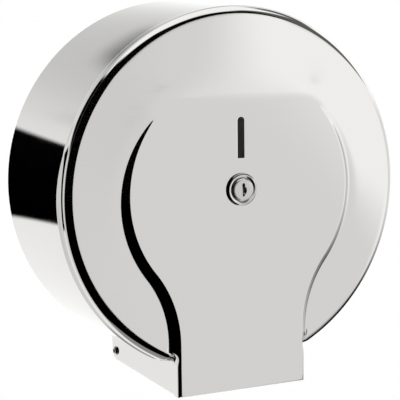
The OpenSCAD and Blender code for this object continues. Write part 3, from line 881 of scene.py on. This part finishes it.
class DISPENSER_OT_band(bpy.types.Operator):
    """Fold the drum and the chute's sides from one band, with the hinge pins' holes"""

    bl_idname = "dispenser.band"
    bl_label = "Drum and sides"

    def execute(self, context):
        scene = context.scene
        sizes, sheet = scene.dispenser_band, scene.dispenser_front.sheet
        obj = mesh_object("side_sheet", *band_sheet(Band(sizes)))
        close_up(obj, outward=False)
        modifier(obj, "SOLIDIFY", thickness=sheet, offset=-1, use_even_offset=True)
        settle(obj)
        reach = scene.dispenser_front.rim_radius
        outline = [(0, -reach), (sizes.pin_hole, -reach), (sizes.pin_hole, reach), (0, reach)]
        cut(obj, lathe("pin_hole_cutter", outline, along_hinge(1), steps=48))
        finish_edges(obj, scene.dispenser_front.edge_break)
        piece(obj, "polished_stainless", "cover", "side_band")
        return {"FINISHED"}


def along_hinge(side):
    return lambda across, up, along: Vector((side * along, HINGE.y + across, HINGE.z + up))


# ---------- the lock ----------


class DISPENSER_OT_lock(bpy.types.Operator):
    """Turn the lock's bezel and barrel, cut the barrel's thread and make the plug"""

    bl_idname = "dispenser.lock"
    bl_label = "Lock"

    def execute(self, context):
        s = context.scene.dispenser_fittings
        self.housing(s)
        self.plug(s)
        return {"FINISHED"}

    def housing(self, s):
        bore = s.plug_radius + s.plug_play
        end, front = HOUSING_HIGH.y, FACE_Y - s.bezel_height
        core = s.barrel_radius - s.thread_depth
        # The thread begins just behind the panel's sheet
        start, edge = FACE_Y + 1.2 * MM, 0.45 * MM
        corners = [(bore, end), (core, end), (core, start), (s.barrel_radius, start)]
        corners += [(s.barrel_radius, FACE_Y), (s.bezel_radius, FACE_Y)]
        # The bezel's face is a ring that falls both ways from a low crest
        corners += [
            (s.bezel_radius, FACE_Y - 0.3 * MM),
            (s.bezel_radius - 0.2 * MM, front + edge),
            (s.bezel_radius - 1.3 * MM, front),
            (bore + 0.2 * MM, front + edge),
            (bore, front + 0.7 * MM),
            (bore, end),
        ]
        body = lathe("housing_body", rounded(corners, 0.4 * MM, 8), along_y(LOCK_Z), 128)
        turns = int((end - 0.6 * MM - start) / s.thread_pitch)
        first = Vector((0, start + s.thread_pitch * 0.6, LOCK_Z))
        step = Vector((0, s.thread_pitch, 0))
        turn_of_thread = self.thread_turn(s, core)
        threads = copies("threads", turn_of_thread, nickel_plated_zinc(), turns, first, step)
        obj = smooth(joined("lock_bezel_and_barrel", [body, threads]))
        piece(obj, "nickel_zinc", "cover", "lock_housing")

    def thread_turn(self, s, core):
        """One turn of the thread, as a ring with a narrow crest, sunk a little into the core."""
        half, crest, root = s.thread_pitch * 0.42, 0.1 * MM, core - 0.05 * MM
        profile = [(root, -half), (s.barrel_radius, -crest), (s.barrel_radius, crest), (root, half)]
        return lathe("thread_turn", profile, along_y(), 72, closed=True)

    def plug(self, s):
        front, end, shoulder = PLUG_LOW.y, PLUG_HIGH.y, HOUSING_HIGH.y + 0.3 * MM
        groove = front + 0.16 * MM
        corners = [
            (0, front),
            (s.plug_radius - 1.1 * MM, front),
            (s.plug_radius - 0.95 * MM, groove),
            (s.plug_radius - 0.6 * MM, groove),
            (s.plug_radius, front + 0.75 * MM),
            (s.plug_radius, shoulder),
            (0, shoulder),
        ]
        body = lathe("plug_body", rounded(corners, 0.25 * MM), along_y(LOCK_Z), 128)
        cut(body, self.keyway(s, front))
        half = s.drive / 2
        low, high = (-half, shoulder - 0.4 * MM, LOCK_Z - half), (half, end, LOCK_Z + half)
        drive = box("plug_drive", low, high)
        floor, past = end - 8 * MM, end + 1 * MM
        hole = [(0, floor), (s.screw_hole, floor), (s.screw_hole, past), (0, past)]
        for part in (body, drive):
            cut(part, lathe("screw_hole_cutter", hole, along_y(LOCK_Z), 40))
        obj = smooth(joined("lock_plug_face", [body, drive, *self.wards(s, front)]))
        piece(obj, "nickel_zinc", "plug", "lock_plug")

    def keyway(self, s, front):
        """The keyway: a slot with round ends and a swelling on its right."""
        half_w, half_h, swell = s.keyway_width / 2, s.keyway_height / 2, 1.35 * MM
        end = half_h - half_w
        arcs = (
            (0, end, half_w, half_w, 0),
            (0, -end, 0.7 * half_w, half_w, math.pi),
            (half_w, -0.1 * half_h, swell, 1.9 * swell, -math.pi / 2),
        )
        outline = []
        for x, z, wide, high, start in arcs:
            for t in shares(12):
                a = start + math.pi * t
                outline.append((x + wide * math.cos(a), z + high * math.sin(a)))
        return prism("keyway_cutter", outline, front - 1 * MM, front + s.keyway_depth, LOCK_Z)

    def wards(self, s, front):
        """Two thin wards that stand in the keyway, one on each side."""
        side, near, far = s.keyway_width / 2, front + 1 * MM, front + s.keyway_depth
        spans = ((-side - 0.1 * MM, -0.35 * MM, 1.2 * MM), (0.3 * MM, side, -2.9 * MM))
        return [
            box("ward", (x0, near, LOCK_Z + z), (x1, far, LOCK_Z + z + 0.5 * MM))
            for x0, x1, z in spans
        ]


# ---------- what repeats ----------


def copies_tree():
    """Copies one piece to points in a row or on a ring."""
    tree = bpy.data.node_groups.get("dispenser_copies")
    if tree:
        return tree
    tree = bpy.data.node_groups.new("dispenser_copies", "GeometryNodeTree")
    tree.interface.new_socket("Geometry", in_out="OUTPUT", socket_type="NodeSocketGeometry")
    for name, kind in (
        ("Geometry", "Geometry"),
        ("Piece", "Object"),
        ("Start", "Vector"),
        ("Step", "Vector"),
        ("Count", "Int"),
        ("Ring Radius", "Float"),
        ("On Ring", "Bool"),
        ("Material", "Material"),
    ):
        tree.interface.new_socket(name, in_out="INPUT", socket_type=f"NodeSocket{kind}")
    given = add_node(tree, "NodeGroupInput").outputs
    inputs = {"Count": given["Count"], "Start Location": given["Start"], "Offset": given["Step"]}
    row = add_node(tree, "GeometryNodeMeshLine", inputs, mode="OFFSET")
    inputs = {"Vertices": given["Count"], "Radius": given["Ring Radius"]}
    ring = add_node(tree, "GeometryNodeMeshCircle", inputs)
    # The ring is drawn flat: it gets a half step of turn and is stood up to face the wall
    step = calc(tree, "DIVIDE", math.pi, given["Count"])
    half_step = add_node(tree, "ShaderNodeCombineXYZ", {"Z": step})
    inputs = {"Geometry": ring, "Rotation": half_step}
    turned = add_node(tree, "GeometryNodeTransform", inputs)
    inputs = {"Geometry": turned, "Translation": given["Start"]}
    inputs["Rotation"] = (math.pi / 2, 0, 0)
    stood = add_node(tree, "GeometryNodeTransform", inputs)
    inputs = {"Switch": given["On Ring"], "False": row, "True": stood}
    points = add_node(tree, "GeometryNodeSwitch", inputs, input_type="GEOMETRY")
    source = add_node(tree, "GeometryNodeObjectInfo", {"Object": given["Piece"]})
    inputs = {"Points": points, "Instance": source.outputs["Geometry"]}
    placed = add_node(tree, "GeometryNodeInstanceOnPoints", inputs)
    real = add_node(tree, "GeometryNodeRealizeInstances", {0: placed})
    inputs = {"Geometry": real, "Material": given["Material"]}
    made = add_node(tree, "GeometryNodeSetMaterial", inputs)
    add_node(tree, "NodeGroupOutput", {0: made})
    return tree


def copies(name, source, material, count, start, step=Vector(), ring=0.0):
    """One plain mesh of copies of a source piece, in a row by its step or on a ring by its
    radius. The source is then thrown away."""
    obj = linked(name, bpy.data.meshes.new(name))
    tree = copies_tree()
    made = obj.modifiers.new("Copies", "NODES")
    made.node_group = tree
    given = {"Piece": source, "Material": material, "Count": count, "Start": start}
    given.update({"Step": step, "Ring Radius": ring, "On Ring": ring > 0})
    for item in tree.interface.items_tree:
        if item.in_out == "INPUT" and item.name in given:
            made[item.identifier] = given[item.name]
    settle(obj)
    discard(source)
    return obj


def rivet(radius, plates, head_radius, head_height):
    """A domed rivet along Y: its formed tail is flush with the wall's side."""
    collar = 0.2 * head_height
    profile = [(0, 0), (radius, 0), (radius, -plates)]
    profile += [(head_radius, -plates), (head_radius, -plates - collar)]
    for t in shares(8, 1):
        a = math.pi / 2 * t
        rise = collar + (head_height - collar) * math.sin(a)
        profile.append((head_radius * math.cos(a), -plates - rise))
    return lathe("rivet", profile, along_y(), 40)


class DISPENSER_OT_rivets(bpy.types.Operator):
    """Set the domed rivets of the hinge bracket and of the spindle's flange"""

    bl_idname = "dispenser.rivets"
    bl_label = "Rivets"

    def execute(self, context):
        s = context.scene.dispenser_fittings
        self.bracket(s)
        self.flange(s)
        return {"FINISHED"}

    def bracket(self, s):
        low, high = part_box("bracket_rivets")
        plates = 2 * -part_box("hinge_bracket")[1].y
        radius = (high.z - low.z) / 2
        source = rivet(s.rivet_radius, plates, radius, -low.y - plates)
        start = Vector((low.x + radius, 0, (low.z + high.z) / 2))
        step = Vector((((high.x - low.x) - 2 * radius) / 3, 0, 0))
        obj = smooth(copies("bracket_rivet_row", source, satin_stainless(), 4, start, step))
        piece(obj, "satin_stainless", "base", "bracket_rivets")

    def flange(self, s):
        low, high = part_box("flange_rivets")
        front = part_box("spindle_flange")[0].y
        radius = 1.8 * s.rivet_radius
        source = rivet(s.rivet_radius, -front, radius, front - low.y)
        ring = ((high.x - low.x) / 2 - radius) * math.sqrt(2)
        made = copies("flange_rivet_ring", source, satin_stainless(), 4, Vector(), ring=ring)
        piece(smooth(made), "satin_stainless", "base", "flange_rivets")


class DISPENSER_OT_tear_strip(bpy.types.Operator):
    """Bend the tear strip and cut its row of teeth"""

    bl_idname = "dispenser.tear_strip"
    bl_label = "Tear strip"

    def execute(self, context):
        s = context.scene.dispenser_fittings
        low, high = STRIP_LOW, STRIP_HIGH
        lip, back = high.z - s.strip, high.y - s.strip
        root = lip - 0.2 * MM
        line = [(low.y, lip), (back, lip), (back, root), (high.y, root)]
        line += [(high.y, high.z), (low.y, high.z)]
        points = [(x, y, z) for x in (low.x, high.x) for y, z in line]
        count = len(line)
        faces = [tuple(range(count)), tuple(range(2 * count - 1, count - 1, -1))]
        faces += [(i, (i + 1) % count, (i + 1) % count + count, i + count) for i in range(count)]
        strip = close_up(mesh_object("strip_body", points, faces))
        finish_edges(strip, 0.12 * MM)
        # A tooth overlaps the strip a little, and its tip is cut blunt
        over, blunt, middle = 0.15 * MM, 0.12 * MM, s.tooth_pitch / 2
        tooth = [(0, over), (0, 0), (middle - blunt, -s.tooth_height)]
        tooth += [(middle + blunt, -s.tooth_height), (s.tooth_pitch, 0), (s.tooth_pitch, over)]
        source = prism("tooth", tooth, 0, s.strip * 0.96)
        teeth = int((high.x - low.x) / s.tooth_pitch)
        start = Vector((-teeth / 2 * s.tooth_pitch, high.y - s.strip * 0.98, 0))
        start.z = low.z + s.tooth_height
        step = Vector((s.tooth_pitch, 0, 0))
        row = copies("teeth", source, satin_stainless(), teeth, start, step)
        obj = smooth(joined("toothed_tear_strip", [strip, row]))
        piece(obj, "satin_stainless", "cover", "tear_strip")
        return {"FINISHED"}


class DISPENSER_OT_hinge_pins(bpy.types.Operator):
    """Rivet the two hollow hinge pins in place"""

    bl_idname = "dispenser.hinge_pins"
    bl_label = "Hinge pins"

    def execute(self, context):
        s = context.scene.dispenser_fittings
        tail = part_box("hinge_bracket")[1].x - 1.5 * MM - s.pin_tail_height
        end, tail_end = PINS_HIGH.x, tail + s.pin_tail_height
        head = end - s.pin_head_height
        tail_radius, hollow = s.pin_radius + 1 * MM, s.pin_radius - 1.15 * MM
        corners = [(0, tail), (tail_radius, tail), (tail_radius, tail_end)]
        corners += [(s.pin_radius, tail_end), (s.pin_radius, head), (s.pin_head, head)]
        corners += [(s.pin_head, head + 0.45 * s.pin_head_height), (s.pin_head - 0.9 * MM, end)]
        corners += [(s.pin_radius - 0.55 * MM, end), (hollow, end - 0.8 * MM)]
        corners += [(hollow, end - 1.8 * MM), (0, end - 1.8 * MM)]
        profile = rounded(corners, 0.45 * MM, 5)
        pins = [lathe("pin", profile, along_hinge(side), 64) for side in (1, -1)]
        obj = smooth(joined("hollow_hinge_pins", pins))
        piece(obj, "polished_stainless", "base", "hinge_pins")
        return {"FINISHED"}


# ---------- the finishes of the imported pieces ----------

PACKED = {
    "satin_stainless": (
        "back_plate",
        "hinge_bracket",
        "spindle_flange",
        "spindle_post",
        "spindle_end_plug",
        "striker",
        "roll_hub",
        "hub_plate",
        "lock_backing_plate",
        "cam_washer",
        "lock_cam",
    ),
    "nickel_zinc": ("retaining_ring", "striker_screw", "lock_washer", "lock_nut", "cam_screw"),
    "white_nylon": (
        "hinge_washers",
        "rear_thrust_washer",
        "front_thrust_washer",
        "rear_bush",
        "front_bush",
    ),
}


class DISPENSER_OT_dress(bpy.types.Operator):
    """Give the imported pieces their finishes"""

    bl_idname = "dispenser.dress"
    bl_label = "Finishes"

    def execute(self, context):
        for slot, names in PACKED.items():
            for name in names:
                dress(frame["nodes"][name], slot)
        return {"FINISHED"}


# ---------- the stage ----------


def studio_light():
    """How bright the studio is in each direction from the object, as its polished faces show it.
    Round is 0 degrees to the front and grows to the right; height is 0 at the horizon."""
    tree = bpy.data.node_groups.new("studio_light", "ShaderNodeTree")
    tree.interface.new_socket("Direction", in_out="INPUT", socket_type="NodeSocketVector")
    tree.interface.new_socket("Light", in_out="OUTPUT", socket_type="NodeSocketFloat")
    given = add_node(tree, "NodeGroupInput").outputs
    way = add_node(tree, "ShaderNodeVectorMath", {0: given[0]}, operation="NORMALIZE")
    x, y, z = add_node(tree, "ShaderNodeSeparateXYZ", {0: way}).outputs
    front = calc(tree, "MULTIPLY", y, -1.0)
    around = calc(tree, "DEGREES", calc(tree, "ARCTAN2", x, front))
    height = calc(tree, "DEGREES", calc(tree, "ARCSINE", z))
    aside = calc(tree, "ABSOLUTE", around)

    # The lit room: plain in front, brighter above the horizon and to the right, dim high behind
    rise = calc(tree, "MULTIPLY_ADD", calc(tree, "MINIMUM", height, 0.0), 1 / 14, 8 / 14)
    rise = calc(tree, "ADD", rise, calc(tree, "MULTIPLY_ADD", around, 1 / 12, -2.0))
    ahead = calc(tree, "MULTIPLY_ADD", ramp(tree, rise, 0.5, 1.2), 0.34, 0.98)
    ahead = product(tree, ahead, ramp(tree, around, 4.0, 24.0, 0.93, 1.0))
    right = ramp(tree, height, 2.0, 12.0, 1.02, 1.5)
    ahead = mixed(tree, ramp(tree, around, 50.0, 62.0), ahead, right)
    behind = ramp(tree, height, 6.0, 27.0, 1.06, 0.74)
    behind = product(tree, behind, ramp(tree, height, -18.0, -6.0, 1.08, 1.0))
    level = mixed(tree, ramp(tree, aside, 128.0, 150.0), ahead, behind)
    level = mixed(tree, ramp(tree, height, 44.0, 62.0), level, 1.35)

    # The dark flags that give the polished steel its edges. Three of their edges are curved or
    # slanted: the front one's right edge below the horizon, and two upper edges
    below = calc(tree, "MINIMUM", calc(tree, "ADD", height, 3.0), 0.0)
    bent = calc(tree, "MULTIPLY_ADD", calc(tree, "POWER", below, 2.0), -0.067, around)
    bent = calc(tree, "MAXIMUM", bent, calc(tree, "SUBTRACT", around, 16.0))
    off_left = calc(tree, "ABSOLUTE", calc(tree, "ADD", around, 100.0))
    arched = calc(tree, "MULTIPLY_ADD", calc(tree, "POWER", off_left, 2.0), 0.0059, height)
    slanted = calc(tree, "MULTIPLY_ADD", around, 0.6, height)
    from_left = (around, -106.0, -97.0)
    # Each flag hides a share of the room between soft limits
    flags = (
        # In front and on the left, from far below the horizon to far above it
        (1.0, from_left, (bent, 5.0, 3.0), (height, 56.0, 46.0), (height, -66.0, -58.0)),
        # Steeply below
        (0.6, (around, 30.0, 4.0), (height, -58.0, -66.0)),
        # In front, above the horizon
        (1.0, from_left, (around, 40.0, 35.0), (height, 11.5, 13.5), (height, 67.0, 58.0),
         (slanted, 61.0, 53.0)),
        # Behind on the left, above the horizon
        (1.0, (around, -161.0, -155.0), (around, -97.0, -106.0), (height, 11.0, 17.0),
         (arched, 54.0, 49.0)),
        # On the right, above the horizon, and higher up farther round
        (0.9, (around, 34.0, 37.0), (around, 90.0, 78.0), (height, 9.0, 15.0),
         (height, 45.0, 38.0)),
        (0.9, (around, 72.0, 86.0), (around, 135.0, 120.0), (height, 30.0, 38.0),
         (height, 58.0, 50.0)),
        # On the right, below the horizon
        (1.0, (around, 28.0, 78.0), (around, 150.0, 135.0), (height, -10.0, -32.0),
         (height, -66.0, -56.0)),
        # A narrow one behind on the right
        (0.8, (around, 136.0, 140.0), (around, 151.0, 147.0), (height, 22.0, 14.0),
         (height, -22.0, -14.0)),
    )
    for share, *limits in flags:
        hidden = product(tree, *(ramp(tree, *limit) for limit in limits))
        level = product(tree, level, calc(tree, "MULTIPLY_ADD", hidden, -share, 1.0))
    add_node(tree, "NodeGroupOutput", {0: level})
    return tree


def flag(name, material, near, far, low, high):
    """A studio flag, as an upright sheet that only reflections see."""
    near, far = Vector((*near, 0)), Vector((*far, 0))
    low, high = Vector((0, 0, low)), Vector((0, 0, high))
    obj = mesh_object(name, [near + low, far + low, far + high, near + high], [(0, 1, 2, 3)])
    obj.data.materials.append(material)
    for ray in ("camera", "diffuse", "transmission", "shadow", "volume_scatter"):
        setattr(obj, f"visible_{ray}", False)


def flag_finish(name, share_of):
    """Black where the share is 1 and clear where it is 0."""
    material = blank_material(name)
    tree = material.node_tree
    x, _, z = add_node(tree, "ShaderNodeSeparateXYZ", {0: own_place(tree)}).outputs
    clear = add_node(tree, "ShaderNodeBsdfTransparent")
    dark = add_node(tree, "ShaderNodeEmission", {"Strength": 0.0})
    inputs = {0: share_of(tree, x, z), 1: clear, 2: dark}
    surface(tree, add_node(tree, "ShaderNodeMixShader", inputs))
    return material


def beside_drum(tree, x, z):
    """A wedge with soft edges, which gives the drum's dark band."""
    over_low = calc(tree, "SUBTRACT", z, calc(tree, "MULTIPLY_ADD", x, 0.306, -0.0166))
    under_high = calc(tree, "SUBTRACT", calc(tree, "MULTIPLY_ADD", x, -0.133, 0.042), z)
    return product(tree, *(ramp(tree, edge, -0.005, 0.005) for edge in (over_low, under_high)))


def arch(tree, x, z):
    """An arch round the drum's axis, which gives the shade along the rim's upper left."""
    squares = calc(tree, "ADD", calc(tree, "POWER", x, 2.0), calc(tree, "POWER", z, 2.0))
    out = calc(tree, "SQRT", squares)
    turned = calc(tree, "DEGREES", calc(tree, "ARCTAN2", x, z))
    limits = [(out, 0.157, 0.182), (out, 0.182, 0.178)]
    limits += [(turned, -42.0, -28.0), (turned, -4.0, -16.0)]
    return product(tree, *(ramp(tree, *limit) for limit in limits), 0.75)


class DISPENSER_OT_stage(bpy.types.Operator):
    """Set up the camera, the floor, the studio's flags and its light"""

    bl_idname = "dispenser.stage"
    bl_label = "Studio"

    def execute(self, context):
        scene = context.scene
        studio = scene.dispenser_studio
        light = studio_light()
        self.camera(scene, studio)
        self.floor(scene, studio, light)
        self.flags()
        self.world(scene, light)
        scene.view_settings.view_transform = "Standard"
        return {"FINISHED"}

    def camera(self, scene, studio):
        data = bpy.data.cameras.new("studio_camera")
        data.lens, data.sensor_width = studio.lens, 36
        data.clip_start, data.clip_end = 0.05, 50
        camera = bpy.data.objects.new("studio_camera", data)
        scene.collection.objects.link(camera)
        a, e = studio.azimuth, studio.elevation
        back = Vector((math.sin(a) * math.cos(e), -math.cos(a) * math.cos(e), math.sin(e)))
        right = (-back).cross(Vector((0, 0, 1))).normalized()
        up = right.cross(-back)
        across = math.cos(studio.roll) * right + math.sin(studio.roll) * up
        upright = -math.sin(studio.roll) * right + math.cos(studio.roll) * up
        target = Vector((studio.target_x, 0, studio.target_z))
        turned = Matrix((across, upright, back)).transposed().to_4x4()
        camera.matrix_world = Matrix.Translation(target + back * studio.distance) @ turned
        scene.camera = camera

    def floor(self, scene, studio, light):
        half = 20.0
        corners = [(-half, -half, 0), (half, -half, 0), (half, half, 0), (-half, half, 0)]
        floor = mesh_object("studio_floor", corners, [(0, 1, 2, 3)])
        floor.location.z = -studio.floor_drop
        material = blank_material("pale_studio_floor")
        tree = material.node_tree
        ray = add_node(tree, "ShaderNodeLightPath").outputs
        # The plain glow lifts the lit floor to white and leaves the shadow on it
        seen = calc(tree, "MAXIMUM", ray["Is Camera Ray"], ray["Is Transmission Ray"])
        glow = calc(tree, "MULTIPLY", seen, studio.floor_glow)
        matt = {"Color": (*scene.dispenser_finishes.floor, 1), "Roughness": 0.6}
        matt = add_node(tree, "ShaderNodeBsdfDiffuse", matt)
        lift = add_node(tree, "ShaderNodeEmission", {"Strength": glow})
        plain = add_node(tree, "ShaderNodeAddShader", {0: matt, 1: lift})
        # Mirrored in the steel, it shows the studio's light as if it were far away
        down = {0: own_place(tree), 1: (0, 0, -studio.floor_drop)}
        down = add_node(tree, "ShaderNodeVectorMath", down, operation="ADD")
        level = self.level(tree, light, down)
        shown = add_node(tree, "ShaderNodeEmission", {"Strength": level})
        both = {0: ray["Is Glossy Ray"], 1: plain, 2: shown}
        surface(tree, add_node(tree, "ShaderNodeMixShader", both))
        floor.data.materials.append(material)

    def flags(self):
        finish = flag_finish("flag_beside_drum", beside_drum)
        flag("flag_beside_drum", finish, (-0.320, 0.108), (-0.098, 0.216), -0.125, 0.095)
        flag("flag_arch", flag_finish("flag_arch", arch), (-0.22, 0.02), (0.02, 0.02), 0, 0.22)

    def level(self, tree, light, direction):
        return add_node(tree, "ShaderNodeGroup", {0: direction}, node_tree=light)

    def world(self, scene, light):
        """White to the camera and to matt surfaces; the polished steel shows the studio."""
        scene.world = world = bpy.data.worlds.new("studio_white")
        world.use_nodes = True
        tree = world.node_tree
        tree.nodes.clear()
        shiny = add_node(tree, "ShaderNodeLightPath").outputs["Is Glossy Ray"]
        direction = add_node(tree, "ShaderNodeTexCoord").outputs["Generated"]
        strength = mixed(tree, shiny, 1.0, self.level(tree, light, direction))
        inputs = {"Color": (1, 1, 1, 1), "Strength": strength}
        sky = add_node(tree, "ShaderNodeBackground", inputs)
        add_node(tree, "ShaderNodeOutputWorld", {"Surface": sky})


# ---------- the add-on ----------

OPERATORS = (
    DISPENSER_OT_stage,
    DISPENSER_OT_front,
    DISPENSER_OT_band,
    DISPENSER_OT_lock,
    DISPENSER_OT_hinge_pins,
    DISPENSER_OT_rivets,
    DISPENSER_OT_tear_strip,
    DISPENSER_OT_dress,
)


class DISPENSER_PT_pieces(bpy.types.Panel):
    """The dispenser's pieces"""

    bl_idname = "DISPENSER_PT_pieces"
    bl_label = "Dispenser"
    bl_space_type = "VIEW_3D"
    bl_region_type = "UI"
    bl_category = "Dispenser"

    def draw(self, context):
        for operator in OPERATORS:
            self.layout.operator(operator.bl_idname)


GROUPS = {
    "dispenser_front": FrontSizes,
    "dispenser_band": BandSizes,
    "dispenser_fittings": FittingSizes,
    "dispenser_finishes": Finishes,
    "dispenser_studio": Studio,
}
CLASSES = (*GROUPS.values(), *OPERATORS, DISPENSER_PT_pieces)


def register():
    for made in CLASSES:
        bpy.utils.register_class(made)
    for name, group in GROUPS.items():
        setattr(bpy.types.Scene, name, bpy.props.PointerProperty(type=group))


def unregister():
    for name in GROUPS:
        delattr(bpy.types.Scene, name)
    for made in reversed(CLASSES):
        bpy.utils.unregister_class(made)


def main():
    register()
    for operator in OPERATORS:
        getattr(bpy.ops.dispenser, operator.bl_idname.split(".")[1])()


if __name__ == "__main__":
    main()
